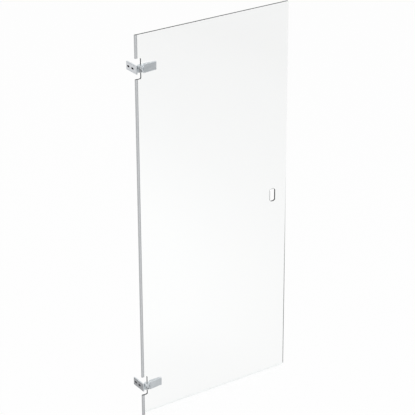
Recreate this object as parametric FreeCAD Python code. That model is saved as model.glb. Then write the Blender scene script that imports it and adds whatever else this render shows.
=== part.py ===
"""Frameless glass shower door on two wall hinges, in millimetres.

X runs from the wall to the closing edge, Z up, and Y = 0 is the middle of the glass.
The outside of the shower, where the door swings to, is -Y. The origin lies on the
wall, at the height of the lower hinge's middle.
"""
import FreeCAD, Part
import math
import os

Vector = FreeCAD.Vector
ORIGIN = Vector(0, 0, 0)
ALONG = Vector(1, 0, 0)
ACROSS = Vector(0, 1, 0)
UP = Vector(0, 0, 1)

# Door leaf
door_reach = 877.0
glass_height = 2000.0
glass_thickness = 8.0
glass_arris = 0.8
glass_corner_radius = 3.0
lower_hinge_inset = 153.0
upper_hinge_inset = 166.0

# Hinge notches and finger hole in the glass
notch_clearance = 1.2
notch_height = 103.0
notch_radius = 6.0
grip_inset = 83.0
grip_height = 997.0
grip_width = 30.0
grip_length = 66.0
grip_radius = 10.0

# Grey seal on the hinge edge
seal_wall_gap = 1.0
seal_nose = 3.0
seal_depth = 13.5
seal_side = 1.4
seal_nose_radius = 3.2
seal_drop = 14.0

# Clear drip seal on the bottom edge
drip_side = 1.2
drip_grip = 12.0
drip_floor = 1.4
drip_lip = 1.6
drip_lip_lean = 2.5
drip_fin_reach = 5.0
drip_fin_fall = 4.0
drip_end_gap = 0.3
drip_edge_inset = 1.0

# Wall side of a hinge
plate_back = 71.0
plate_height = 41.0
plate_thickness = 3.0
head_front = 17.0
head_back = 5.0
head_radius = 2.0
cover_depth = 7.5
cover_face = 2.2
cover_wall = 3.4
cover_radius = 1.5
cover_rim_gap = 0.3
slot_middle = 34.5
slot_spacing = 36.0
slot_length = 19.0
slot_width = 9.0
arm_back = 6.0

# Knuckles around the pivot line
pivot_forward = 15.0
upper_knuckle_radius = 14.0
knuckle_step = 0.5
knuckle_wall_gap = 1.0
knuckle_edge = 0.6
knuckle_bottom = 12.0
knuckle_parting = 6.75
knuckle_top = 18.8
cap_thickness = 2.2
cap_radius = 1.2
cap_spigot = 2.5

# Pin, bush and washer
pin_radius = 5.0
pin_recess = 0.5
bush_wall = 2.0
washer_thickness = 1.5
washer_inset = 1.0
axial_play = 0.05
running_clearance = 0.05
seat_clearance = 0.05

# Pinch screw that closes the slit of the lower knuckle on the pin
slit_width = 3.5
slit_angle = 236.0
pinch_drop = 3.0
pinch_radius = 2.0
pinch_head_radius = 3.5
pinch_head_length = 4.0
pinch_head_sink = 1.2
pinch_end_wall = 1.8
pinch_socket_radius = 1.7
pinch_socket_depth = 2.2

# Outside clamp plate
outer_clamp_setback = 7.0
outer_clamp_length = 73.0
outer_clamp_start_height = 42.0
outer_clamp_end_height = 41.0
outer_clamp_start_thickness = 13.0
outer_clamp_end_thickness = 7.0

# Inside clamp plate
inner_clamp_setback = 19.0
inner_clamp_length = 59.0
inner_clamp_start_height = 35.0
inner_clamp_end_height = 33.0
inner_clamp_start_thickness = 6.0
inner_clamp_end_thickness = 5.0
clamp_edge_radius = 1.2
gasket_thickness = 1.0
gasket_inset = 1.5

# Screws and sleeves through the glass
screw_end_inset = 12.5
screw_radius = 3.0
screw_head_radius = 5.5
screw_head_sink = 0.3
screw_socket_radius = 2.3
screw_socket_depth = 2.4
screw_clearance = 0.2
thread_depth = 5.5
thread_end_gap = 0.5
sleeve_radius = 7.5
sleeve_hole_clearance = 0.3

# Overrun of every cutting tool past the face that it leaves
overrun = 2.0

# Largest sine between an edge and the direction that it is said to run in
direction_share = 1e-6

# Glass
glass_bottom = -lower_hinge_inset
glass_top = glass_bottom + glass_height
glass_left = seal_wall_gap + seal_nose + seat_clearance
glass_front = -glass_thickness / 2
glass_back = glass_thickness / 2

# Seals on the glass
seal_inside = glass_back + seat_clearance
drip_outside = seal_inside + drip_side
drip_seat = glass_bottom - seat_clearance
drip_level = drip_seat - drip_floor

# Hinges on the glass
hinge_spacing = glass_height - lower_hinge_inset - upper_hinge_inset
hinge_heights = {"lower": 0, "upper": hinge_spacing}

# Pivot line, and the notch edge that just clears the knuckles on it
pivot_reach = cover_depth + knuckle_wall_gap + upper_knuckle_radius
pivot_y = -pivot_forward
lower_knuckle_radius = upper_knuckle_radius - knuckle_step
notch_swing = upper_knuckle_radius + notch_clearance
notch_level = pivot_forward - glass_thickness / 2
notch_reach = pivot_reach + math.sqrt(max(0, notch_swing ** 2 - notch_level ** 2))

# Heights in a hinge, from its middle
plate_half = plate_height / 2
lower_knuckle_top = knuckle_parting - washer_thickness / 2 - axial_play
upper_knuckle_low = knuckle_parting + washer_thickness / 2 + axial_play
pin_low = pin_recess - knuckle_bottom
pin_high = knuckle_top - cap_spigot - pin_recess

# Clamp plates and what goes through the glass
clamp_front = glass_front - gasket_thickness
clamp_back = glass_back + gasket_thickness
outer_start = notch_reach + outer_clamp_setback
outer_end = outer_start + outer_clamp_length
inner_start = notch_reach + inner_clamp_setback
inner_end = inner_start + inner_clamp_length
screw_reaches = (inner_start + screw_end_inset, inner_end - screw_end_inset)
sleeve_hole_radius = sleeve_radius + sleeve_hole_clearance
bush_radius = pin_radius + bush_wall

# Pinch screw, measured from the pivot line along its own chord of the knuckle
pinch_offset = (pin_radius + lower_knuckle_radius) / 2
pinch_chord_half = math.sqrt(lower_knuckle_radius ** 2 - pinch_offset ** 2)
pinch_head_seat = pinch_chord_half - pinch_head_sink - pinch_head_length
pinch_thread_end = pinch_chord_half - pinch_end_wall


def block(x0, x1, y0, y1, z0, z1):
    """Box between two corners."""
    return Part.makeBox(x1 - x0, y1 - y0, z1 - z0, Vector(x0, y0, z0))


def upright(radius, z0, z1):
    """Cylinder on the pivot line between two heights."""
    return Part.makeCylinder(radius, z1 - z0, Vector(pivot_reach, pivot_y, z0), UP)


def crosswise(radius, x, z, y0, y1):
    """Cylinder along Y, through the glass's thickness."""
    return Part.makeCylinder(radius, y1 - y0, Vector(x, y0, z), ACROSS)


def prism(points, sweep):
    """Solid swept straight from a closed outline."""
    outline = Part.makePolygon(points + points[:1])
    return Part.Face(outline).extrude(sweep)


def hexagon_bar(radius, start, length):
    """Bar of a hex key along Y, whose corners lie on the radius."""
    turns = [math.tau * step / 6 for step in range(6)]
    corners = [
        start + Vector(radius * math.cos(turn), 0, radius * math.sin(turn)) for turn in turns
    ]
    return prism(corners, Vector(0, length, 0))


def edges_along(solid, direction, keep=lambda middle: True):
    """Straight edges that run along a direction and whose middle passes a test."""
    chosen = []
    for edge in solid.Edges:
        if edge.Curve.TypeId != "Part::GeomLine":
            continue
        tangent = edge.tangentAt(edge.FirstParameter)
        if tangent.cross(direction).Length < direction_share and keep(edge.CenterOfMass):
            chosen.append(edge)
    return chosen


def circles_at(solid, z):
    """Round edges that lie at one height."""
    return [
        edge for edge in solid.Edges
        if edge.Curve.TypeId == "Part::GeomCircle" and abs(edge.CenterOfMass.z - z) < knuckle_edge
    ]


def glass_panel():
    """Tempered pane with two hinge notches, the finger hole and the clamp screws' holes."""
    pane = block(glass_left, door_reach, glass_front, glass_back, glass_bottom, glass_top)
    far_corners = edges_along(pane, ACROSS, lambda middle: middle.x > notch_reach)
    pane = pane.makeFillet(glass_corner_radius, far_corners)
    tool_front, tool_back = glass_front - overrun, glass_back + overrun
    for height in hinge_heights.values():
        low, high = height - notch_height / 2, height + notch_height / 2
        notch = block(glass_left - overrun, notch_reach, tool_front, tool_back, low, high)
        corners = edges_along(notch, ACROSS, lambda middle: middle.x > glass_left)
        pane = pane.cut(notch.makeFillet(notch_radius, corners))
        for reach in screw_reaches:
            pane = pane.cut(crosswise(sleeve_hole_radius, reach, height, tool_front, tool_back))
    grip_x = door_reach - grip_inset
    grip_z = glass_bottom + grip_height
    hole = block(
        grip_x - grip_width / 2, grip_x + grip_width / 2, tool_front, tool_back,
        grip_z - grip_length / 2, grip_z + grip_length / 2,
    )
    pane = pane.cut(hole.makeFillet(grip_radius, edges_along(hole, ACROSS)))
    rims = [
        edge for edge in pane.Edges
        if abs(abs(edge.CenterOfMass.y) - glass_back) < direction_share
        and abs(edge.tangentAt(edge.FirstParameter).y) < direction_share
    ]
    return pane.makeChamfer(glass_arris, rims)


def edge_seal(low, high):
    """Push-on seal: a channel over the glass's hinge edge with a rounded nose to the wall."""
    half = seal_inside + seal_side
    seal_end = seal_wall_gap + seal_depth
    body = block(seal_wall_gap, seal_end, -half, half, low, high)
    nose = edges_along(body, UP, lambda middle: middle.x < glass_left)
    body = body.makeFillet(seal_nose_radius, nose)
    channel_low = glass_bottom if low < glass_bottom else low - overrun
    channel = block(
        seal_wall_gap + seal_nose, seal_end + overrun, -seal_inside, seal_inside,
        channel_low, high + overrun,
    )
    return body.cut(channel)


def along_bottom(outline):
    """Piece of the bottom seal, from its outline in Y and Z."""
    start = seal_wall_gap + seal_depth + drip_end_gap
    points = [Vector(start, y, z) for y, z in outline]
    return prism(points, Vector(door_reach - drip_edge_inset - start, 0, 0))


def bottom_seal():
    """Clear channel pushed on the glass's bottom edge."""
    top = glass_bottom + drip_grip
    return along_bottom([
        (-drip_outside, top), (-seal_inside, top), (-seal_inside, drip_seat),
        (seal_inside, drip_seat), (seal_inside, top), (drip_outside, top),
        (drip_outside, drip_level), (-drip_outside, drip_level),
    ])


def bottom_lip():
    """Soft lip under the channel, which leans inwards and wipes the threshold."""
    half = drip_lip / 2
    base = glass_bottom - seal_drop
    return along_bottom([
        (-half, drip_level), (half, drip_level),
        (drip_lip_lean + half, base), (drip_lip_lean - half, base),
    ])


def drip_fin():
    """Soft fin along the inside of the channel, which throws drips back into the shower."""
    tip, tip_z = drip_outside + drip_fin_reach, drip_level - drip_fin_fall
    return along_bottom([
        (drip_outside - drip_lip, drip_level), (drip_outside, drip_level),
        (tip, tip_z), (tip - drip_lip, tip_z),
    ])


def slot_tool(y, z):
    """Cutter for one screw slot, long along Y."""
    half = (slot_length - slot_width) / 2
    radius = slot_width / 2
    past = plate_thickness + overrun
    straight = block(-overrun, past, y - half, y + half, z - radius, z + radius)
    ends = [
        Part.makeCylinder(radius, past + overrun, Vector(-overrun, end, z), ALONG)
        for end in (y - half, y + half)
    ]
    return straight.fuse(ends)


def to_slit(shape, height):
    """Turn a shape made at the origin, with the slit along its +X, to the slit's real place."""
    shape = shape.copy()
    shape.rotate(ORIGIN, UP, slit_angle)
    shape.translate(Vector(pivot_reach, pivot_y, height))
    return shape


def pinch_screw(height):
    """Socket-head screw across the slit of the lower knuckle."""
    tip = pin_recess - pinch_thread_end
    shank = crosswise(pinch_radius, pinch_offset, -pinch_drop, tip, pinch_head_seat)
    head_face = pinch_head_seat + pinch_head_length
    head = crosswise(pinch_head_radius, pinch_offset, -pinch_drop, pinch_head_seat, head_face)
    socket = hexagon_bar(
        pinch_socket_radius, Vector(pinch_offset, head_face - pinch_socket_depth, -pinch_drop),
        pinch_socket_depth + overrun,
    )
    return to_slit(shank.fuse(head).cut(socket), height)


def wall_bracket(height):
    """Slotted wall plate, its solid head, and the arm with the slit lower knuckle."""
    plate_end = plate_back - cover_wall - seat_clearance
    plate_rim = plate_half - cover_wall - seat_clearance
    plate = block(0, plate_thickness, -head_back, plate_end, height - plate_rim, height + plate_rim)
    head = block(
        0, cover_depth, -head_front, -head_back, height - plate_half, height + plate_half
    )
    rounded = edges_along(head, UP, lambda middle: middle.y < -head_back and middle.x > 0)
    rounded += edges_along(head, ACROSS, lambda middle: middle.x > 0)
    head = head.makeFillet(head_radius, rounded)
    low, high = height - knuckle_bottom, height + lower_knuckle_top
    knuckle = upright(lower_knuckle_radius, low, high)
    knuckle = knuckle.makeChamfer(knuckle_edge, circles_at(knuckle, low))
    arm = block(plate_thickness, pivot_reach, -head_front, -arm_back, low, high)
    bracket = plate.fuse([head, knuckle, arm])
    bore = upright(pin_radius + seat_clearance, low - overrun, high + overrun)
    slit = block(
        0, lower_knuckle_radius + overrun, -slit_width / 2, slit_width / 2,
        -knuckle_bottom - overrun, lower_knuckle_top + overrun,
    )
    past = lower_knuckle_radius + overrun
    screw_hole = crosswise(
        pinch_radius + seat_clearance, pinch_offset, -pinch_drop, -pinch_thread_end, past
    )
    head_hole = crosswise(
        pinch_head_radius + screw_clearance, pinch_offset, -pinch_drop, pinch_head_seat, past
    )
    cuts = [bore] + [to_slit(tool, height) for tool in (slit, screw_hole, head_hole)]
    cuts += [slot_tool(slot_middle + side * slot_spacing / 2, height) for side in (-1, 1)]
    return bracket.cut(cuts).removeSplitter()


def wall_cover(height):
    """Clip-on cover over the wall plate and its screw heads, open to the wall."""
    start = seat_clearance - head_back
    low, high = height - plate_half, height + plate_half
    shell = block(cover_rim_gap, cover_depth, start, plate_back, low, high)
    rounded = edges_along(shell, ACROSS, lambda middle: middle.x > cover_rim_gap)
    rounded += edges_along(shell, UP, lambda middle: middle.x > cover_rim_gap and middle.y > 0)
    rounded += edges_along(shell, ALONG, lambda middle: middle.y > 0)
    shell = shell.makeFillet(cover_radius, rounded)
    hollow = block(
        cover_rim_gap - overrun, cover_depth - cover_face, start - overrun,
        plate_back - cover_wall, low + cover_wall, high - cover_wall,
    )
    return shell.cut(hollow)


def hinge_pin(height):
    """Steel pin held in the lower knuckle and running up into the leaf's knuckle."""
    low, high = height + pin_low, height + pin_high
    pin = upright(pin_radius, low, high)
    return pin.makeChamfer(knuckle_edge, circles_at(pin, low) + circles_at(pin, high))


def ring(outer_radius, low, high):
    """Ring around the pin with a running fit on it."""
    hole = upright(pin_radius + running_clearance, low - overrun, high + overrun)
    return upright(outer_radius, low, high).cut(hole)


def thrust_washer(height):
    """Plain washer between the knuckles, which carries the leaf's weight."""
    middle, half = height + knuckle_parting, washer_thickness / 2
    return ring(lower_knuckle_radius - washer_inset, middle - half, middle + half)


def knuckle_bush(height):
    """Plain bearing bush that turns with the leaf around the pin."""
    return ring(bush_radius, height + upper_knuckle_low, height + pin_high)


def knuckle_cap(height):
    """Press-in cap that closes the top of the leaf's knuckle."""
    seat = height + knuckle_top
    disc = upright(upper_knuckle_radius, seat, seat + cap_thickness)
    disc = disc.makeFillet(cap_radius, circles_at(disc, seat + cap_thickness))
    return disc.fuse(upright(bush_radius, seat - cap_spigot, seat))


def clamp_plate(height, face, side, start, end, start_height, end_height, start_depth, end_depth):
    """Plate that lies against one side of the glass, thinner and lower to its free end."""
    low = height - start_height / 2
    start_y, end_y = face + side * start_depth, face + side * end_depth
    from_above = prism(
        [
            Vector(start, face, low), Vector(end, face, low),
            Vector(end, end_y, low), Vector(start, start_y, low),
        ],
        Vector(0, 0, start_height),
    )
    end_half = end_height / 2
    from_outside = prism(
        [
            Vector(start, face, low), Vector(end, face, height - end_half),
            Vector(end, face, height + end_half), Vector(start, face, low + start_height),
        ],
        Vector(0, side * start_depth, 0),
    )
    plate = from_above.common(from_outside)
    shown = [
        edge for edge in plate.Edges if abs(edge.CenterOfMass.y - face) > clamp_edge_radius
    ]
    return plate.makeFillet(clamp_edge_radius, shown)


def outer_clamp(height):
    """Outside clamp plate in one piece with the leaf's knuckle and the neck between them."""
    plate = clamp_plate(
        height, clamp_front, -1, outer_start, outer_end,
        outer_clamp_start_height, outer_clamp_end_height,
        outer_clamp_start_thickness, outer_clamp_end_thickness,
    )
    low, high = height + upper_knuckle_low, height + knuckle_top
    knuckle = upright(upper_knuckle_radius, low, high)
    knuckle = knuckle.makeChamfer(knuckle_edge, circles_at(knuckle, low))
    corner_y = clamp_front - outer_clamp_start_thickness
    reach = math.hypot(outer_start - pivot_reach, corner_y - pivot_y)
    bearing = math.atan2(corner_y - pivot_y, outer_start - pivot_reach)
    tangent = bearing - math.acos(upper_knuckle_radius / reach)
    touch_x = pivot_reach + upper_knuckle_radius * math.cos(tangent)
    touch_y = pivot_y + upper_knuckle_radius * math.sin(tangent)
    lap = outer_start + clamp_edge_radius
    neck = prism(
        [
            Vector(pivot_reach, clamp_front, low), Vector(pivot_reach, pivot_y, low),
            Vector(touch_x, touch_y, low), Vector(outer_start, corner_y, low),
            Vector(lap, corner_y, low), Vector(lap, clamp_front, low),
        ],
        Vector(0, 0, high - low),
    )
    bore = upright(bush_radius + seat_clearance, low - overrun, high + overrun)
    threads = [
        crosswise(
            screw_radius + seat_clearance, reach_x, height,
            clamp_front - thread_depth, clamp_front + overrun,
        )
        for reach_x in screw_reaches
    ]
    return plate.fuse([knuckle, neck]).cut([bore] + threads).removeSplitter()


def screw_head_face(reach_x):
    """Y of a clamp screw's flat head, a little sunk in the inside clamp plate."""
    share = (reach_x - inner_start) / (inner_end - inner_start)
    taper = inner_clamp_end_thickness - inner_clamp_start_thickness
    return clamp_back + inner_clamp_start_thickness + share * taper - screw_head_sink


def countersink(reach_x, height, gap):
    """Screw's conical head, or with a gap the seat for it."""
    depth = screw_head_radius - screw_radius
    start = Vector(reach_x, screw_head_face(reach_x) - depth, height)
    return Part.makeCone(screw_radius + gap, screw_head_radius + gap, depth, start, ACROSS)


def inner_clamp(height):
    """Inside clamp plate with the countersunk holes of its two screws."""
    plate = clamp_plate(
        height, clamp_back, 1, inner_start, inner_end,
        inner_clamp_start_height, inner_clamp_end_height,
        inner_clamp_start_thickness, inner_clamp_end_thickness,
    )
    cuts = []
    for reach_x in screw_reaches:
        face = screw_head_face(reach_x)
        past = face + overrun
        cuts.append(crosswise(screw_radius + screw_clearance, reach_x, height, glass_back, past))
        cuts.append(countersink(reach_x, height, screw_clearance))
        cuts.append(crosswise(screw_head_radius + screw_clearance, reach_x, height, face, past))
    return plate.cut(cuts).removeSplitter()


def clamp_screws(height):
    """Two countersunk socket screws, from the inside into the outside clamp plate."""
    screws = []
    for reach_x in screw_reaches:
        face = screw_head_face(reach_x)
        tip = clamp_front - thread_depth + thread_end_gap
        shank = crosswise(screw_radius, reach_x, height, tip, face)
        socket = hexagon_bar(
            screw_socket_radius, Vector(reach_x, face - screw_socket_depth, height),
            screw_socket_depth + overrun,
        )
        screws.append(shank.fuse(countersink(reach_x, height, 0)).removeSplitter().cut(socket))
    return Part.makeCompound(screws)


def screw_sleeves(height):
    """Two plastic sleeves that keep the screws off the glass."""
    sleeves = []
    for reach_x in screw_reaches:
        body = crosswise(sleeve_radius, reach_x, height, clamp_front, clamp_back)
        hole = crosswise(
            screw_radius + screw_clearance, reach_x, height,
            clamp_front - overrun, clamp_back + overrun,
        )
        sleeves.append(body.cut(hole))
    return Part.makeCompound(sleeves)


def gasket(height, start, end, clamp_height, y0, y1):
    """Thin soft pad between a clamp plate and the glass."""
    half = clamp_height / 2 - gasket_inset
    pad = block(start + gasket_inset, end - gasket_inset, y0, y1, height - half, height + half)
    holes = [
        crosswise(sleeve_hole_radius, reach_x, height, y0 - overrun, y1 + overrun)
        for reach_x in screw_reaches
    ]
    return pad.cut(holes)


def hinge(name, height):
    """All pieces of one hinge by node name."""
    outer_gasket = gasket(
        height, outer_start, outer_end, outer_clamp_end_height, clamp_front, glass_front
    )
    inner_gasket = gasket(
        height, inner_start, inner_end, inner_clamp_end_height, glass_back, clamp_back
    )
    return {
        name + "_wall_bracket": wall_bracket(height),
        name + "_wall_cover": wall_cover(height),
        name + "_hinge_pin": hinge_pin(height),
        name + "_thrust_washer": thrust_washer(height),
        name + "_pinch_screw": pinch_screw(height),
        name + "_knuckle_bush": knuckle_bush(height),
        name + "_knuckle_cap": knuckle_cap(height),
        name + "_outer_clamp": outer_clamp(height),
        name + "_inner_clamp": inner_clamp(height),
        name + "_outer_gasket": outer_gasket,
        name + "_inner_gasket": inner_gasket,
        name + "_clamp_screws": clamp_screws(height),
        name + "_screw_sleeves": screw_sleeves(height),
    }


def shower_door():
    """Every piece of the door by node name."""
    half_notch = notch_height / 2
    nodes = {
        "glass_panel": glass_panel(),
        "upper_edge_seal": edge_seal(hinge_spacing + half_notch, glass_top),
        "middle_edge_seal": edge_seal(half_notch, hinge_spacing - half_notch),
        "lower_edge_seal": edge_seal(glass_bottom - seal_drop, -half_notch),
        "bottom_seal": bottom_seal(),
        "bottom_lip": bottom_lip(),
        "drip_fin": drip_fin(),
    }
    for name, height in hinge_heights.items():
        nodes.update(hinge(name, height))
    return nodes


print("pivot at X", round(pivot_reach, 3), "Y", pivot_y, "notch edge at X", round(notch_reach, 3))
os.makedirs("parts", exist_ok=True)
for node, shape in shower_door().items():
    solids = [solid.isValid() and solid.Volume > 0 for solid in shape.Solids]
    print(node, len(solids), "solids", "sound" if solids and all(solids) else "NOT SOUND")
    shape.exportStep("parts/" + node + ".step")
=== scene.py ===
"""Looks of a frameless glass shower door on two wall hinges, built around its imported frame."""

import logging
import math
from dataclasses import dataclass, field
from enum import Enum
from typing import Any, ClassVar

import bmesh
import bpy
from mathutils import Matrix, Vector


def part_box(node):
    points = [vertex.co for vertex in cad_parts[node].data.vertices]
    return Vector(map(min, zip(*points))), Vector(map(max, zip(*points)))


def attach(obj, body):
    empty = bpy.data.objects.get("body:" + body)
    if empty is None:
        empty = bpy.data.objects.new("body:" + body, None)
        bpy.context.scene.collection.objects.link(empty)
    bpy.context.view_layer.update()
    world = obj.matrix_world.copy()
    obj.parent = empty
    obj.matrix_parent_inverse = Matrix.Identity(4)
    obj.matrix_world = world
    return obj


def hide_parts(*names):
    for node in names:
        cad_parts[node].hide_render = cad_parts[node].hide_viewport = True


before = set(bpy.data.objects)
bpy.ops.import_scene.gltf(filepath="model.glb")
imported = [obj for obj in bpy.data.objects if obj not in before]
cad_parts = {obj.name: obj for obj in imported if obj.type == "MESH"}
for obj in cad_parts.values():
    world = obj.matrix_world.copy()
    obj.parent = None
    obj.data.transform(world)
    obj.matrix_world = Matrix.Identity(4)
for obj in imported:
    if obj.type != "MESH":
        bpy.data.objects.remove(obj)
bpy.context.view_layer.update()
LOG = logging.getLogger("shower_door")
MM = 0.001
HINGE_NAMES = ("lower", "upper")
WHITE = (1.0, 1.0, 1.0, 1.0)
SHARP = math.radians(34.0)

# The lower hinge's middle is at height zero, and the middle seal starts at its notch's top.
GLASS_LOW, GLASS_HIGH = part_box("glass_panel")
SEAL_LOW, SEAL_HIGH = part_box("middle_edge_seal")
PIN_LOW, PIN_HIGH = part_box("lower_hinge_pin")
PIVOT = ((PIN_LOW.x + PIN_HIGH.x) / 2, (PIN_LOW.y + PIN_HIGH.y) / 2)
HINGE_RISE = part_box("upper_hinge_pin")[0].z - PIN_LOW.z
NOTCH_HALF = SEAL_LOW.z

Colour = tuple[float, float, float]
Point = tuple[float, float, float]
Place = tuple[float, float]
Span = tuple[float, float]


class Body(Enum):
    """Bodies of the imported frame."""

    WALL = "root"
    LEAF = "leaf"


class Slot(Enum):
    """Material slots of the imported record."""

    GLASS = "glass"
    SEAL = "seal"
    CLEAR_SEAL = "clear_seal"
    CHROME = "chrome"
    BRACKET = "chrome_bracket"
    STEEL = "steel"
    SCREW = "screw_steel"
    PLASTIC = "bearing_plastic"
    GASKET = "gasket"


class Wire:
    """An output socket on which arithmetic adds Math nodes."""

    def __init__(self, sheet: "NodeSheet", socket: bpy.types.NodeSocket | None) -> None:
        """Wraps one socket.

        Args:
            sheet: The node sheet that the socket is on.
            socket: The output socket, or none for a node that ends the tree.
        """
        self.sheet = sheet
        self.socket = socket

    def _math(self, operation: str, first: Any, second: Any = None) -> "Wire":
        """Adds one Math node.

        Args:
            operation: The Math node's operation.
            first: A wire or number for its first input.
            second: A wire or number for its second input, if it has one.

        Returns:
            The node's result.
        """
        inputs = {0: first} if second is None else {0: first, 1: second}
        return self.sheet.add("ShaderNodeMath", {"operation": operation}, inputs)

    def __add__(self, other: Any) -> "Wire":
        """Sum."""
        return self._math("ADD", self, other)

    def __sub__(self, other: Any) -> "Wire":
        """Difference."""
        return self._math("SUBTRACT", self, other)

    def __rsub__(self, other: Any) -> "Wire":
        """Difference, with a number first."""
        return self._math("SUBTRACT", other, self)

    def __mul__(self, other: Any) -> "Wire":
        """Product."""
        return self._math("MULTIPLY", self, other)

    def __rmul__(self, other: Any) -> "Wire":
        """Product, with a number first."""
        return self._math("MULTIPLY", other, self)

    def __truediv__(self, other: Any) -> "Wire":
        """Quotient."""
        return self._math("DIVIDE", self, other)

    def __pow__(self, other: Any) -> "Wire":
        """Power."""
        return self._math("POWER", self, other)

    def __abs__(self) -> "Wire":
        """Size without its sign."""
        return self._math("ABSOLUTE", self)

    def __lt__(self, other: Any) -> "Wire":
        """One where the wire is below the other, and zero elsewhere."""
        return self._math("LESS_THAN", self, other)

    def above(self, limit: float) -> "Wire":
        """One where the wire reaches a limit, and zero elsewhere."""
        return 1.0 - (self < limit)

    def within(self, low: float, high: float) -> "Wire":
        """One between two limits, and zero elsewhere."""
        return (self < high) * self.above(low)

    def between(self, low: float, high: float) -> "Wire":
        """Value that is low where the wire is zero and high where it is one."""
        return self * (high - low) + low

    def most(self, other: Any) -> "Wire":
        """Larger of two values."""
        return self._math("MAXIMUM", self, other)

    def step(self, start: float, end: float) -> "Wire":
        """Smooth step from zero to one.

        Args:
            start: Value at which the step begins.
            end: Value at which it is complete.

        Returns:
            The step.
        """
        settings = {"interpolation_type": "SMOOTHSTEP"}
        inputs = {"Value": self, "From Min": start, "From Max": end}
        return self.sheet.add("ShaderNodeMapRange", settings, inputs)


@dataclass(frozen=True)
class Pattern:
    """Noise by its waves per metre, its octaves and a factor on each coordinate."""

    scale: float
    octaves: float = 3.0
    stretch: tuple[float, float, float] = (1.0, 1.0, 1.0)


class NodeSheet:
    """Builder of one material's or world's node tree."""

    def __init__(self, tree: bpy.types.NodeTree) -> None:
        """Empties a node tree to build on it.

        Args:
            tree: The node tree.
        """
        self.tree = tree
        tree.nodes.clear()

    def add(
        self,
        kind: str,
        settings: dict[str, Any] | None = None,
        inputs: dict[Any, Any] | None = None,
        output: int | str = 0,
    ) -> Wire:
        """Adds one node.

        Args:
            kind: The node's type.
            settings: Its settings by name; "stops" gives a ramp's places and colours.
            inputs: Numbers, colours or wires by input name or number.
            output: Name or number of the output that is wanted.

        Returns:
            That output.
        """
        node = self.tree.nodes.new(kind)
        for name, value in (settings or {}).items():
            if name == "stops":
                self._ramp(node.color_ramp, value)
            else:
                setattr(node, name, value)
        for name, value in (inputs or {}).items():
            if isinstance(value, Wire):
                self.tree.links.new(value.socket, node.inputs[name])
            else:
                node.inputs[name].default_value = value
        if not node.outputs:
            return Wire(self, None)
        return Wire(self, node.outputs[output])

    @staticmethod
    def _ramp(ramp: bpy.types.ColorRamp, stops: list[tuple[float, Colour]]) -> None:
        """Sets a colour ramp's stops.

        Args:
            ramp: The ramp, which starts with two stops.
            stops: Place and colour of each stop, at least two.
        """
        while len(ramp.elements) < len(stops):
            ramp.elements.new(1.0)
        for element, (place, colour) in zip(ramp.elements, stops):
            element.position = place
            element.color = (*colour, 1.0)

    def ray(self, fact: str) -> Wire:
        """What Light Path says of the ray, such as Is Camera Ray."""
        return self.add("ShaderNodeLightPath", output=fact)

    def place(self) -> Wire:
        """Point on the piece, in its own coordinates."""
        return self.add("ShaderNodeTexCoord", output="Object")

    def axes(self) -> tuple[Wire, Wire, Wire]:
        """X, Y and Z of the point on the piece.

        Returns:
            The three coordinates in metres.
        """
        split = self.add("ShaderNodeSeparateXYZ", inputs={0: self.place()})
        outputs = split.socket.node.outputs
        return tuple(Wire(self, outputs[name]) for name in "XYZ")

    def over_hinge(self) -> Wire:
        """Height of the point over the middle of the hinge on its half of the door.

        Returns:
            The height in metres.
        """
        _, _, height = self.axes()
        return height - height.above(HINGE_RISE / 2) * HINGE_RISE

    def noise(self, pattern: Pattern) -> Wire:
        """Noise on the piece's own coordinates.

        Args:
            pattern: The noise's pattern.

        Returns:
            The noise, around one half.
        """
        placing = {"Vector": self.place(), "Scale": pattern.stretch}
        mapped = self.add("ShaderNodeMapping", None, placing)
        inputs = {"Vector": mapped, "Scale": pattern.scale, "Detail": pattern.octaves}
        return self.add("ShaderNodeTexNoise", None, inputs)

    def tint(self, share: Wire, low: Colour | Wire, high: Colour) -> Wire:
        """Mix of two colours.

        Args:
            share: How much of the second colour there is.
            low: First colour, or a wire with one.
            high: Second colour.

        Returns:
            The mixed colour.
        """
        # Of the Mix node's sockets, 6 and 7 are its colours and 2 is the mixed colour.
        first = low if isinstance(low, Wire) else (*low, 1.0)
        inputs = {0: share, 6: first, 7: (*high, 1.0)}
        return self.add("ShaderNodeMix", {"data_type": "RGBA"}, inputs, output=2)

    def bump(self, height: Wire, depth: float, strength: float) -> Wire:
        """Bump to feed a Normal input.

        Args:
            height: Height from zero to one.
            depth: Metres that a height of one stands for.
            strength: Share of the effect.

        Returns:
            The bent normal.
        """
        inputs = {"Height": height, "Distance": depth, "Strength": strength}
        return self.add("ShaderNodeBump", None, inputs)

    def mix(self, share: Wire, first: Wire, second: Wire) -> Wire:
        """Mix of two shaders.

        Args:
            share: How much of the second shader there is.
            first: First shader.
            second: Second shader.

        Returns:
            The mixed shader.
        """
        return self.add("ShaderNodeMixShader", None, {0: share, 1: first, 2: second})

    def surface(self, **sockets: Any) -> Wire:
        """Principled shader, whose inputs are named with _ for each space.

        Args:
            **sockets: Values or wires by input name.

        Returns:
            The shader.
        """
        inputs = {name.replace("_", " "): value for name, value in sockets.items()}
        return self.add("ShaderNodeBsdfPrincipled", None, inputs)


@dataclass(frozen=True)
class Finish:
    """A finish, which makes one material."""

    made: ClassVar[dict[str, bpy.types.Material]] = {}

    name: str
    slot: Slot

    def shade(self, sheet: NodeSheet) -> Wire:
        """Builds the finish's shader.

        Args:
            sheet: The material's node sheet.

        Returns:
            The shader for the surface.
        """
        raise NotImplementedError

    def material(self) -> bpy.types.Material:
        """Material of this finish, made when it is first asked for.

        Returns:
            The material.
        """
        if self.name not in self.made:
            material = bpy.data.materials.new(self.name)
            material.use_nodes = True
            sheet = NodeSheet(material.node_tree)
            sheet.add("ShaderNodeOutputMaterial", None, {"Surface": self.shade(sheet)})
            self.made[self.name] = material
        return self.made[self.name]


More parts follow.
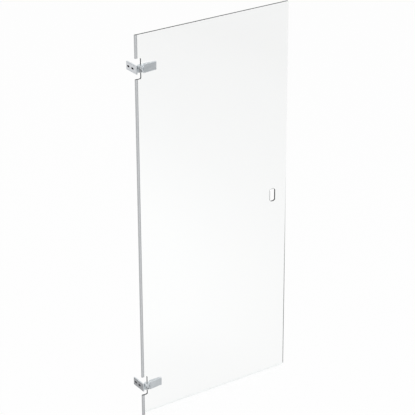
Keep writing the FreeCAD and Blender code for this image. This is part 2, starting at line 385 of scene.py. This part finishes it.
@dataclass(frozen=True)
class ClearGlass(Finish):
    """Clear tempered glass, whose ground edges are painted dark as painted shade, darkest at the
    notches and the closing edge.

    The closing edge fades upwards, and so do the notches' upper faces and the glass's foot.
    """

    face_tint: Colour = (0.983, 0.989, 0.986)
    # The edge tints are painted shade: near-black, they stand in for the dark look of light lost
    # inside the glass.
    edge_painted_shade: Colour = (0.018, 0.024, 0.022)
    edge_light: Colour = (0.045, 0.056, 0.052)
    index: float = 1.52
    edge_index: float = 1.15
    faded_index: float = 1.02
    smear: Pattern = Pattern(7.0, 4.0, (1.0, 1.0, 0.4))
    smear_band: Span = (0.52, 0.8)
    smear_rough: float = 0.006
    grind: Pattern = Pattern(900.0, 2.0, (1.0, 6.0, 1.0))
    grind_depth: float = 0.05 * MM
    grind_strength: float = 0.3
    polished_rough: Span = (0.03, 0.08)
    ground_rough: Span = (0.4, 0.55)
    ground_gloss: float = 0.1
    painted_shade_share: float = 0.3
    faded_rough: float = 0.01
    skin: float = 0.03 * MM
    foot: float = 5.0 * MM
    notch_reach: float = 100.0 * MM
    past_notch: float = 18.5 * MM
    dark_end: float = 6.5 * MM
    crown: Span = (4.5 * MM, 0.5 * MM)
    closing_width: float = 7.0 * MM
    closing_fade: Span = (0.25, 1.08)

    def is_edge(self, sheet: NodeSheet) -> Wire:
        """One on the pane's edges, and zero on its two faces."""
        return abs(sheet.axes()[1]) < GLASS_HIGH.y - self.skin

    def is_closing(self, sheet: NodeSheet) -> Wire:
        """One at the closing edge, and zero elsewhere."""
        return sheet.axes()[0].above(GLASS_HIGH.x - self.closing_width)

    def fading(self, sheet: NodeSheet) -> Wire:
        """One where the edges' painted shade is left off, so they look clear: high on the closing
        edge, over a notch, at the foot.

        Args:
            sheet: The material's node sheet.

        Returns:
            The mask.
        """
        across, _, height = sheet.axes()
        over_hinge = sheet.over_hinge()
        high = self.is_closing(sheet) * height.step(*self.closing_fade)
        crown = over_hinge.step(*(NOTCH_HALF - below for below in self.crown))
        crown = crown * (over_hinge < NOTCH_HALF + self.past_notch) * (across < self.notch_reach)
        foot = height < GLASS_LOW.z + self.foot
        return foot.most(self.is_edge(sheet) * high.most(crown))

    def darkness(self, sheet: NodeSheet) -> Wire:
        """Share of opaque painted shade on the edges: all of it in the notches and at the closing
        edge.

        Args:
            sheet: The material's node sheet.

        Returns:
            The share.
        """
        across, _, _ = sheet.axes()
        notch = sheet.over_hinge().within(
            -NOTCH_HALF - self.past_notch, NOTCH_HALF - self.dark_end
        )
        dark = (notch * (across < self.notch_reach)).most(self.is_closing(sheet))
        return dark.most(self.painted_shade_share)

    def shade(self, sheet: NodeSheet) -> Wire:
        """Clear faces, and edges in painted shade, dark from outside and from inside.

        Args:
            sheet: The material's node sheet.

        Returns:
            The shader.
        """
        smear = sheet.noise(self.smear).step(*self.smear_band)
        face = sheet.surface(
            Base_Color=(*self.face_tint, 1.0),
            Roughness=smear * self.smear_rough,
            IOR=self.index,
            Transmission_Weight=1.0,
        )
        grind = sheet.noise(self.grind)
        polished = sheet.surface(
            Base_Color=sheet.tint(grind, self.edge_painted_shade, self.edge_light),
            Roughness=grind.between(*self.polished_rough),
            IOR=self.edge_index,
            Transmission_Weight=1.0,
        )
        # Opaque painted shade, roughened by the grind.
        opaque_painted_shade = sheet.surface(
            Base_Color=sheet.tint(grind, self.edge_painted_shade, self.edge_light),
            Roughness=grind.between(*self.ground_rough),
            Specular_IOR_Level=self.ground_gloss,
            Normal=sheet.bump(grind, self.grind_depth, self.grind_strength),
        )
        faded = sheet.surface(
            Base_Color=(*self.face_tint, 1.0),
            Roughness=grind * self.faded_rough,
            IOR=self.faded_index,
            Transmission_Weight=1.0,
        )
        edges = sheet.mix(self.darkness(sheet), polished, opaque_painted_shade)
        clear = sheet.mix(self.is_edge(sheet), face, edges)
        return sheet.mix(self.fading(sheet), clear, faded)


@dataclass(frozen=True)
class Chrome(Finish):
    """Plated metal with the faint unevenness of its polish, and painted shade inside its hollow.
    """

    tint: Colour = (0.66, 0.70, 0.725)
    worn_tint: Colour = (0.72, 0.755, 0.78)
    worn_band: Span = (0.3, 0.75)
    rough: Span = (0.30, 0.42)
    cloud: Pattern = Pattern(45.0, 4.0)
    cloud_share: float = 0.7
    lines: Pattern = Pattern(900.0, 2.0)
    line_depth: float = 0.01 * MM
    line_strength: float = 0.12
    # A near-black painted shade for hollows and recesses, where the chrome would mirror the
    # bright studio.
    painted_recess_tint: Colour = (0.05, 0.05, 0.055)
    painted_recess_light: Colour = (0.10, 0.10, 0.11)
    painted_recess_rough: Span = (0.45, 0.65)
    hollow: Span = (-4.2 * MM, 68.2 * MM)
    hollow_half: float = 17.4 * MM
    hollow_depth: float = 5.5 * MM

    def shade(self, sheet: NodeSheet) -> Wire:
        """Metal with cloudy gloss and fine polishing lines.

        Args:
            sheet: The material's node sheet.

        Returns:
            The shader.
        """
        cloud = sheet.noise(self.cloud)
        lines = sheet.noise(self.lines)
        uneven = cloud * self.cloud_share + lines * (1.0 - self.cloud_share)
        plated = sheet.surface(
            Base_Color=sheet.tint(cloud.step(*self.worn_band), self.tint, self.worn_tint),
            Metallic=1.0,
            Roughness=uneven.between(*self.rough),
            Normal=sheet.bump(lines, self.line_depth, self.line_strength),
        )
        painted_recess = sheet.surface(
            Base_Color=sheet.tint(cloud, self.painted_recess_tint, self.painted_recess_light),
            Metallic=1.0,
            Roughness=cloud.between(*self.painted_recess_rough),
        )
        return sheet.mix(self.painted_shade_mask(sheet), plated, painted_recess)

    def painted_shade_mask(self, sheet: NodeSheet) -> Wire:
        """One in the wall cover's hollow, which gets painted shade, and zero elsewhere.

        Args:
            sheet: The material's node sheet.

        Returns:
            The mask.
        """
        across, depth, _ = sheet.axes()
        walls = depth.within(*self.hollow) * (abs(sheet.over_hinge()) < self.hollow_half)
        return walls * (across < self.hollow_depth)


@dataclass(frozen=True)
class BracketChrome(Chrome):
    """Plated bracket: satin on its back with a paler tint that is painted light, and painted
    shade in its slots, slit and screw recess.
    """

    # The back's paler tint is painted light, brightening the face that mirrors the studio; its
    # satin roughness is the finish.
    back_painted_pale: Colour = (0.70, 0.72, 0.75)
    back_painted_paler: Colour = (0.76, 0.775, 0.80)
    back_rough: Span = (0.24, 0.38)
    back_cloud: Pattern = Pattern(60.0)
    back_depth: float = 0.12 * MM
    grain: Pattern = Pattern(1200.0, 3.0, (1.0, 0.15, 1.0))
    grain_strength: float = 0.25
    plate_thickness: float = 3.5 * MM
    head_back: float = -4.9 * MM
    slit_turn: float = math.radians(236.0)
    slit_half: float = 1.9 * MM
    slit_end: float = 13.0 * MM
    recess: Place = (9.5 * MM, -3.0 * MM)
    recess_radius: float = 3.8 * MM

    def shade(self, sheet: NodeSheet) -> Wire:
        """Chrome with a satin back.

        Args:
            sheet: The material's node sheet.

        Returns:
            The shader.
        """
        polished = super().shade(sheet)
        across, _, _ = sheet.axes()
        grain = sheet.noise(self.grain)
        cloud = sheet.noise(self.back_cloud)
        satin = sheet.surface(
            Base_Color=sheet.tint(0.5 * (grain + cloud), self.back_painted_pale, self.back_painted_paler),
            Metallic=1.0,
            Roughness=grain.between(*self.back_rough),
            Normal=sheet.bump(grain, self.line_depth, self.grain_strength),
        )
        return sheet.mix(across < self.back_depth, polished, satin)

    def painted_shade_mask(self, sheet: NodeSheet) -> Wire:
        """One in the screw slots, the slit and the pinch screw's recess, which get painted shade,
        and zero elsewhere.

        Args:
            sheet: The material's node sheet.

        Returns:
            The mask.
        """
        across, depth, _ = sheet.axes()
        plate = (across < self.plate_thickness) * depth.above(self.head_back)
        right, back = across - PIVOT[0], depth - PIVOT[1]
        turn_right, turn_back = math.cos(self.slit_turn), math.sin(self.slit_turn)
        out = right * turn_right + back * turn_back
        side = back * turn_right - right * turn_back
        slit = (abs(side) < self.slit_half) * out.within(0.0, self.slit_end)
        out, over = out - self.recess[0], sheet.over_hinge() - self.recess[1]
        recess = (out * out + over * over) < self.recess_radius ** 2
        return plate.most(slit).most(recess * side.above(self.slit_half))


@dataclass(frozen=True)
class TurnedSteel(Finish):
    """Stainless steel with the fine rings of its turning."""

    tint: Colour = (0.46, 0.47, 0.48)
    light: Colour = (0.58, 0.585, 0.59)
    rough: Span = (0.22, 0.38)
    rings: Pattern = Pattern(2500.0, 2.0, (0.05, 0.05, 1.0))
    ring_depth: float = 0.01 * MM
    ring_strength: float = 0.2

    def shade(self, sheet: NodeSheet) -> Wire:
        """Steel with fine rings along the pin.

        Args:
            sheet: The material's node sheet.

        Returns:
            The shader.
        """
        rings = sheet.noise(self.rings)
        return sheet.surface(
            Base_Color=sheet.tint(rings, self.tint, self.light),
            Metallic=1.0,
            Roughness=rings.between(*self.rough),
            Normal=sheet.bump(rings, self.ring_depth, self.ring_strength),
        )


@dataclass(frozen=True)
class SoftSeal(Finish):
    """Grey push-on seal, satin, with the streaks of its drawing, and painted shade on its lips
    and nose.
    """

    tint: Colour = (0.50, 0.51, 0.525)
    light: Colour = (0.58, 0.59, 0.60)
    # Darker grey painted at the channel's mouth and, weaker, at the nose, as painted shade.
    lip_painted_shade: Colour = (0.37, 0.38, 0.39)
    nose: float = 4.4 * MM
    nose_shade_share: float = 0.4
    mouth: float = 10.2 * MM
    blend: float = 0.8 * MM
    rough: Span = (0.34, 0.50)
    cloud: Pattern = Pattern(16.0, 2.0, (1.0, 1.0, 0.3))
    streak: Pattern = Pattern(700.0, 3.0, (1.0, 1.0, 0.012))
    streak_share: float = 0.6
    streak_depth: float = 0.05 * MM
    streak_strength: float = 0.35

    def shade(self, sheet: NodeSheet) -> Wire:
        """Streaked grey, with painted shade at the nose and at the channel's mouth.

        Args:
            sheet: The material's node sheet.

        Returns:
            The shader.
        """
        reach, _, _ = sheet.axes()
        streak = sheet.noise(self.streak)
        cloud = sheet.noise(self.cloud)
        uneven = streak * self.streak_share + cloud * (1.0 - self.streak_share)
        body = sheet.tint(uneven, self.tint, self.light)
        mouth = reach.step(self.mouth - self.blend, self.mouth + self.blend)
        nose = reach.step(self.nose + self.blend, self.nose - self.blend)
        return sheet.surface(
            Base_Color=sheet.tint(mouth.most(nose * self.nose_shade_share), body, self.lip_painted_shade),
            Roughness=streak.between(*self.rough),
            Normal=sheet.bump(streak, self.streak_depth, self.streak_strength),
        )


@dataclass(frozen=True)
class ClearVinyl(Finish):
    """Clear drawn plastic, a little milky."""

    tint: Colour = (0.98, 0.985, 0.985)
    milky: Colour = (0.99, 0.995, 0.995)
    rough: Span = (0.03, 0.08)
    index: float = 1.05
    streak: Pattern = Pattern(600.0, 3.0, (0.01, 1.0, 1.0))
    streak_depth: float = 0.04 * MM
    streak_strength: float = 0.1

    def shade(self, sheet: NodeSheet) -> Wire:
        """Clear plastic with lengthwise streaks.

        Args:
            sheet: The material's node sheet.

        Returns:
            The shader.
        """
        streak = sheet.noise(self.streak)
        return sheet.surface(
            Base_Color=sheet.tint(streak, self.tint, self.milky),
            Roughness=streak.between(*self.rough),
            IOR=self.index,
            Transmission_Weight=1.0,
            Normal=sheet.bump(streak, self.streak_depth, self.streak_strength),
        )


@dataclass(frozen=True)
class Moulded(Finish):
    """Moulded plastic or rubber with a fine grain."""

    tint: Colour = (0.80, 0.80, 0.77)
    light: Colour = (0.86, 0.86, 0.83)
    rough: Span = (0.42, 0.54)
    grain: Pattern = Pattern(1800.0)
    grain_depth: float = 0.02 * MM
    grain_strength: float = 0.3
    cloud: Pattern = Pattern(60.0, 2.0)

    def shade(self, sheet: NodeSheet) -> Wire:
        """Plain colour with a fine grain.

        Args:
            sheet: The material's node sheet.

        Returns:
            The shader.
        """
        grain = sheet.noise(self.grain)
        cloud = sheet.noise(self.cloud)
        return sheet.surface(
            Base_Color=sheet.tint(0.5 * (grain + cloud), self.tint, self.light),
            Roughness=grain.between(*self.rough),
            Normal=sheet.bump(grain, self.grain_depth, self.grain_strength),
        )


GLASS = ClearGlass("clear_glass", Slot.GLASS)
SEAL = SoftSeal("grey_seal", Slot.SEAL)
CLEAR = ClearVinyl("clear_vinyl", Slot.CLEAR_SEAL)
CHROME = Chrome("bright_chrome", Slot.CHROME)
BRACKET = BracketChrome("satin_chrome", Slot.BRACKET)
STEEL = TurnedSteel("turned_steel", Slot.STEEL)
SCREW = TurnedSteel("dull_steel", Slot.SCREW, (0.12, 0.12, 0.125), (0.18, 0.18, 0.185))
# Its grey is painted shade: darker than the off-white bearing plastic, so the washer between the
# knuckles reads dark.
PLASTIC = Moulded("plastic_in_painted_shade", Slot.PLASTIC, (0.42, 0.43, 0.43), (0.50, 0.51, 0.51))
PAD = Moulded(
    "soft_pad", Slot.GASKET, (0.58, 0.60, 0.60), (0.66, 0.68, 0.68), (0.5, 0.62), Pattern(900.0)
)


def add_piece(
    name: str, mesh: bmesh.types.BMesh, finish: Finish, body: Body, stands_for: tuple[str, ...]
) -> bpy.types.Object:
    """Turns a finished mesh into a piece of the door.

    Args:
        name: The piece's name.
        mesh: Its mesh, in place; it is freed.
        finish: Its finish.
        body: The body that it rides on.
        stands_for: The CAD nodes that it stands for.

    Returns:
        The piece.
    """
    data = bpy.data.meshes.new(name)
    mesh.to_mesh(data)
    mesh.free()
    data.materials.append(finish.material())
    piece = bpy.data.objects.new(name, data)
    bpy.context.scene.collection.objects.link(piece)
    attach(piece, body.value)
    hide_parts(*stands_for)
    LOG.info("%s: %d faces on %s", name, len(data.polygons), body.value)
    return piece


@dataclass
class MachinedCopy:
    """A CAD node's own form with its edges broken and its round faces shaded smooth."""

    node: str
    finish: Finish
    body: Body
    edge: float = 0.3 * MM
    segments: int = 2
    weld: float = 0.002 * MM
    flat: float = math.radians(0.6)
    even_weight: int = 80

    def build(self) -> bpy.types.Object:
        """Makes the piece that stands for the node.

        Returns:
            The piece.
        """
        mesh = bmesh.new()
        mesh.from_mesh(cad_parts[self.node].data)
        bmesh.ops.remove_doubles(mesh, verts=mesh.verts, dist=self.weld)
        if self.edge > 0.0:
            bmesh.ops.dissolve_limit(
                mesh, angle_limit=self.flat, use_dissolve_boundaries=False,
                verts=mesh.verts, edges=mesh.edges, delimit=set(),
            )
            corners = [
                e for e in mesh.edges if e.is_manifold and e.calc_face_angle(0.0) > SHARP
            ]
            bmesh.ops.bevel(
                mesh, geom=corners, offset=self.edge, offset_type="OFFSET",
                segments=self.segments, profile=0.5, affect="EDGES", clamp_overlap=True,
                material=-1,
            )
        for face in mesh.faces:
            face.smooth = True
        piece = add_piece(f"{self.node}_finished", mesh, self.finish, self.body, (self.node,))
        stored = piece.data.attributes.get("custom_normal")
        if stored is not None:
            piece.data.attributes.remove(stored)
        piece.data.set_sharp_from_angle(angle=SHARP)
        evened = piece.modifiers.new("even_shading", "WEIGHTED_NORMAL")
        evened.keep_sharp = True
        evened.weight = self.even_weight
        return piece


@dataclass
class GlassPane:
    """The pane with its notches and its finger hole."""

    node: str = "glass_panel"

    def build(self) -> None:
        """Makes the pane, which casts no shadow, as clear glass hardly does."""
        pane = MachinedCopy(self.node, GLASS, Body.LEAF, edge=0.0).build()
        pane.visible_shadow = False
        pane.visible_diffuse = False


@dataclass
class EdgeSeal:
    """Push-on seal on the hinge edge, in three lengths between the notches."""

    nose_start: float = 1.5 * MM
    nose_half: float = 1.6 * MM
    nose_shoulder: float = 4.6 * MM
    half: float = SEAL_HIGH.y
    groove: float = 0.35 * MM
    groove_reach: float = 5.3 * MM
    mouth_end: float = SEAL_HIGH.x
    lip_start: float = 12.5 * MM
    lip_half: float = 5.8 * MM
    glass_gap: float = 0.05 * MM
    nose_round: float = 1.3 * MM
    round_segments: int = 5
    nodes: tuple[str, ...] = ("upper_edge_seal", "middle_edge_seal", "lower_edge_seal")

    def outline(self) -> list[Place]:
        """Half of the cross-section's outside and inside, from the nose to the channel's floor.

        Returns:
            Points in X and Y on the +Y side.
        """
        channel_half = GLASS_HIGH.y + self.glass_gap
        channel_floor = GLASS_LOW.x - self.glass_gap
        return [
            (self.nose_start, self.nose_half),
            (self.nose_shoulder, self.half),
            (self.groove_reach - self.groove, self.half),
            (self.groove_reach, self.half - self.groove),
            (self.groove_reach + self.groove, self.half),
            (self.lip_start, self.half),
            (self.lip_start + self.groove, self.lip_half),
            (self.mouth_end - self.groove, self.lip_half),
            (self.mouth_end, channel_half + self.groove),
            (self.mouth_end - self.groove, channel_half),
            (channel_floor, channel_half),
        ]

    def build(self) -> None:
        """Makes the three lengths of seal."""
        side = self.outline()
        around = side + [(x, -y) for x, y in reversed(side)]
        for node in self.nodes:
            low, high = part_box(node)
            mesh = bmesh.new()
            ring = [mesh.verts.new((x, y, low.z)) for x, y in around]
            start = mesh.faces.new(ring)
            swept = bmesh.ops.extrude_face_region(mesh, geom=[start])["geom"]
            moved = [v for v in swept if isinstance(v, bmesh.types.BMVert)]
            bmesh.ops.translate(mesh, verts=moved, vec=(0.0, 0.0, high.z - low.z))
            bmesh.ops.holes_fill(mesh, edges=mesh.edges, sides=len(ring))
            bmesh.ops.recalc_face_normals(mesh, faces=mesh.faces)
            rounded = [
                e for e in mesh.edges
                if abs(e.verts[0].co.z - e.verts[1].co.z) > self.half
                and e.verts[0].co.x < self.nose_shoulder + self.groove
                and abs(e.verts[0].co.y) > self.nose_half - self.groove
            ]
            bmesh.ops.bevel(
                mesh, geom=rounded, offset=self.nose_round, offset_type="OFFSET",
                segments=self.round_segments, profile=0.5, affect="EDGES",
                clamp_overlap=True, material=-1,
            )
            for face in mesh.faces:
                face.smooth = True
            piece = add_piece(f"{node}_drawn", mesh, SEAL, Body.LEAF, (node,))
            piece.data.set_sharp_from_angle(angle=SHARP)


@dataclass
class BottomSeal:
    """Clear drip seal: its channel, its lip and its fin."""

    channel: str = "bottom_seal"
    soft_parts: tuple[str, ...] = ("bottom_lip", "drip_fin")
    edge: float = 0.15 * MM
    joint: float = 0.05 * MM

    def build(self) -> None:
        """Makes the three drawn pieces, with a hair's breadth between channel and soft parts."""
        for node in (self.channel, *self.soft_parts):
            piece = MachinedCopy(node, CLEAR, Body.LEAF, self.edge).build()
            piece.visible_shadow = False
            if node in self.soft_parts:
                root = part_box(node)[1].z - self.joint
                for vertex in piece.data.vertices:
                    vertex.co.z = min(vertex.co.z, root)


@dataclass
class WallSide:
    """The half of a hinge that stays on the wall."""

    name: str
    bracket_edge: float = 0.3 * MM
    cover_edge: float = 0.2 * MM
    small_edge: float = 0.15 * MM

    def build(self) -> None:
        """Makes the bracket, its cover, and the pin, washer and screw on it."""
        for part, finish, edge in (
            ("wall_bracket", BRACKET, self.bracket_edge),
            ("wall_cover", CHROME, self.cover_edge),
            ("hinge_pin", STEEL, 0.0),
            ("thrust_washer", PLASTIC, self.small_edge),
            ("pinch_screw", SCREW, self.small_edge),
        ):
            MachinedCopy(f"{self.name}_{part}", finish, Body.WALL, edge).build()


@dataclass
class LeafSide:
    """The half of a hinge that swings with the glass."""

    name: str
    outer_edge: float = 0.35 * MM
    inner_edge: float = 0.25 * MM

    def build(self) -> None:
        """Makes the clamp plates, the bush and cap, and what goes through the glass."""
        for part, finish, edge in (
            ("outer_clamp", CHROME, self.outer_edge),
            ("knuckle_cap", CHROME, 0.0),
            ("inner_clamp", CHROME, self.inner_edge),
            ("knuckle_bush", PLASTIC, 0.0),
            ("outer_gasket", PAD, 0.0),
            ("inner_gasket", PAD, 0.0),
            ("clamp_screws", SCREW, 0.0),
            ("screw_sleeves", PLASTIC, 0.0),
        ):
            MachinedCopy(f"{self.name}_{part}", finish, Body.LEAF, edge).build()


@dataclass(frozen=True)
class StudioFloor:
    """Pale seamless floor, on which reflections see a painted pool of light in front and to the
    left, painted shadows near the door's foot and a painted bright board.
    """

    name: str = "studio_floor"
    height: float = -0.171
    middle: Place = (0.4, 0.0)
    half: float = 16.0
    own_light: float = 0.95
    front_edge: Span = (0.05, -0.12)
    pool: Place = (-0.1, -2.5)
    pool_depth: float = 0.7
    pool_reach: float = 9.0
    # The pool's stops paint light fading out to a dark ring, seen only in reflections.
    painted_pool_stops: tuple[Span, ...] = (
        (0.0, 1.0), (1.45, 1.0), (1.8, 0.76), (2.2, 0.53), (2.7, 0.37), (3.4, 0.24),
        (4.0, 0.04), (5.0, 0.1), (6.5, 0.5), (9.0, 0.65),
    )
    # Painted shadows that reflections see behind the door's foot and beside the lower hinge.
    behind_painted_light: float = 0.80
    foot_reach: Span = (0.25, 1.6)
    wall_foot_painted_shadow: float = 0.41
    front_foot: Place = (0.3, -0.27)
    front_foot_reach: Span = (0.05, 0.7)
    hinge_painted_shadow: float = 0.75
    # A painted bright board on the floor in front, seen only in reflections.
    painted_board: Span = (1.08, 1.2)
    board_slope: float = 0.676
    board_back: Span = (-3.5, -3.1)

    @staticmethod
    def _away(across: Wire, depth: Wire, centre: Place, squash: float = 1.0) -> Wire:
        """Distance from a place on the floor.

        Args:
            across: X of the point.
            depth: Y of the point.
            centre: The place.
            squash: Factor on the distance in Y.

        Returns:
            The distance in metres.
        """
        right, back = across - centre[0], (depth - centre[1]) * squash
        return (right * right + back * back) ** 0.5

    def _painted_reflection(self, sheet: NodeSheet, across: Wire, depth: Wire) -> Wire:
        """Painted light and shade that the glass and the chrome mirror: a painted pool of light,
        painted shadows near the door's foot and a painted bright board.

        Args:
            sheet: The material's node sheet.
            across: X of the point.
            depth: Y of the point.

        Returns:
            The brightness.
        """
        away = self._away(across, depth, self.pool, self.pool_depth) / self.pool_reach
        stops = [(d / self.pool_reach, (b, b, b)) for d, b in self.painted_pool_stops]
        ramp = sheet.add("ShaderNodeValToRGB", {"stops": stops}, {"Fac": away})
        foot = self._away(across, depth, (0.0, 0.0)).step(*self.foot_reach)
        behind = foot.between(self.wall_foot_painted_shadow, self.behind_painted_light)
        near = self._away(across, depth, self.front_foot).step(*self.front_foot_reach)
        ahead = ramp * near.between(self.hinge_painted_shadow, 1.0)
        painted_board = (across + depth * self.board_slope).step(*self.painted_board)
        ahead = ahead.most(painted_board * depth.step(*self.board_back))
        front = depth.step(*self.front_edge)
        unmirrored = sheet.ray("Glossy Depth") < 0.5
        return (front * ahead + (1.0 - front) * behind).most(unmirrored)

    def build(self) -> None:
        """Makes the floor and its material."""
        mesh = bmesh.new()
        bmesh.ops.create_grid(mesh, x_segments=1, y_segments=1, size=self.half)
        bmesh.ops.translate(mesh, verts=mesh.verts, vec=(*self.middle, self.height))
        data = bpy.data.meshes.new(self.name)
        mesh.to_mesh(data)
        mesh.free()
        material = bpy.data.materials.new(self.name)
        material.use_nodes = True
        sheet = NodeSheet(material.node_tree)
        across, depth, _ = sheet.axes()
        lit = sheet.add("ShaderNodeBsdfDiffuse", None, {"Color": WHITE})
        glow = sheet.add("ShaderNodeEmission", None, {"Color": WHITE, "Strength": 1.0})
        plain = sheet.mix(self.own_light, lit, glow)
        # Reflections see painted light and shade on the floor; the camera sees it evenly pale.
        painted_sheen = self._painted_reflection(sheet, across, depth)
        mirrored = sheet.add("ShaderNodeEmission", None, {"Color": painted_sheen, "Strength": 1.0})
        seen = sheet.mix(sheet.ray("Is Camera Ray"), mirrored, plain)
        floor = sheet.mix(sheet.ray("Is Diffuse Ray"), seen, lit)
        sheet.add("ShaderNodeOutputMaterial", None, {"Surface": floor})
        data.materials.append(material)
        floor_object = bpy.data.objects.new(self.name, data)
        bpy.context.scene.collection.objects.link(floor_object)


def sees_background(sheet: NodeSheet) -> Wire:
    """One for camera, glossy and transmission rays, and zero for the rest.

    Args:
        sheet: The node sheet to build on.

    Returns:
        The mask.
    """
    straight = sheet.ray("Is Camera Ray")
    return straight.most(sheet.ray("Is Glossy Ray")).most(sheet.ray("Is Transmission Ray"))


@dataclass
class Lamp:
    """One soft area lamp."""

    name: str
    place: Point
    power: float
    size: float = 2.6
    aim: Point = (0.4, 0.0, 0.9)

    def build(self) -> None:
        """Makes the lamp and turns it to its aim."""
        data = bpy.data.lights.new(self.name, "AREA")
        data.shape = "SQUARE"
        data.size = self.size
        data.energy = self.power
        lamp = bpy.data.objects.new(self.name, data)
        towards = Vector(self.aim) - Vector(self.place)
        turn = towards.to_track_quat("-Z", "Y").to_matrix().to_4x4()
        lamp.matrix_world = Matrix.Translation(self.place) @ turn
        bpy.context.scene.collection.objects.link(lamp)


@dataclass
class Studio:
    """Pale surroundings, floor and soft lamps."""

    ambient: float = 0.64
    lamps: list[Lamp] = field(default_factory=lambda: [
        Lamp("key_lamp", (-3.2, -4.2, 4.6), 72.0),
        Lamp("fill_lamp", (4.6, -3.6, 2.6), 32.0),
        Lamp("back_lamp", (-2.4, 4.2, 3.8), 34.0),
    ])

    def build(self) -> None:
        """Makes the world, the floor and the lamps."""
        world = bpy.data.worlds.new("studio_air")
        world.use_nodes = True
        sheet = NodeSheet(world.node_tree)
        dim, bright = (
            sheet.add("ShaderNodeBackground", None, {"Color": WHITE, "Strength": strength})
            for strength in (self.ambient, 1.0)
        )
        air = sheet.mix(sees_background(sheet), dim, bright)
        sheet.add("ShaderNodeOutputWorld", None, {"Surface": air})
        bpy.context.scene.world = world
        StudioFloor().build()
        for lamp in self.lamps:
            lamp.build()


@dataclass
class PhotoCamera:
    """Camera at the photograph's place, turned and rolled as it was."""

    azimuth: float = -34.22
    elevation: float = 24.886
    roll: float = -0.227
    distance: float = 8.7827
    aim: Point = (0.45, 0.0, 0.847)
    offset: Place = (-0.03938, 0.01558)
    lens: float = 155.16
    far: float = 100.0

    def build(self) -> None:
        """Makes the camera and gives it to the scene."""
        turn, rise = math.radians(self.azimuth), math.radians(self.elevation)
        back = Vector(
            (math.sin(turn) * math.cos(rise), -math.cos(turn) * math.cos(rise), math.sin(rise))
        )
        right = (-back).cross(Vector((0.0, 0.0, 1.0))).normalized()
        right = Matrix.Rotation(math.radians(self.roll), 3, back) @ right
        above = back.cross(right)
        place = Vector(self.aim) + back * self.distance
        place += right * self.offset[0] + above * self.offset[1]
        data = bpy.data.cameras.new("photo_camera")
        data.lens = self.lens
        data.clip_end = self.far
        camera = bpy.data.objects.new("photo_camera", data)
        turned = Matrix((right, above, back)).transposed().to_4x4()
        camera.matrix_world = Matrix.Translation(place) @ turned
        bpy.context.scene.collection.objects.link(camera)
        bpy.context.scene.camera = camera


def main() -> None:
    """Builds the camera, the studio and every piece of the door."""
    logging.basicConfig(level=logging.INFO, format="%(message)s")
    bpy.context.scene.view_settings.view_transform = "Standard"
    PhotoCamera().build()
    Studio().build()
    GlassPane().build()
    EdgeSeal().build()
    BottomSeal().build()
    for name in HINGE_NAMES:
        WallSide(name).build()
        LeafSide(name).build()


if __name__ == "__main__":
    main()
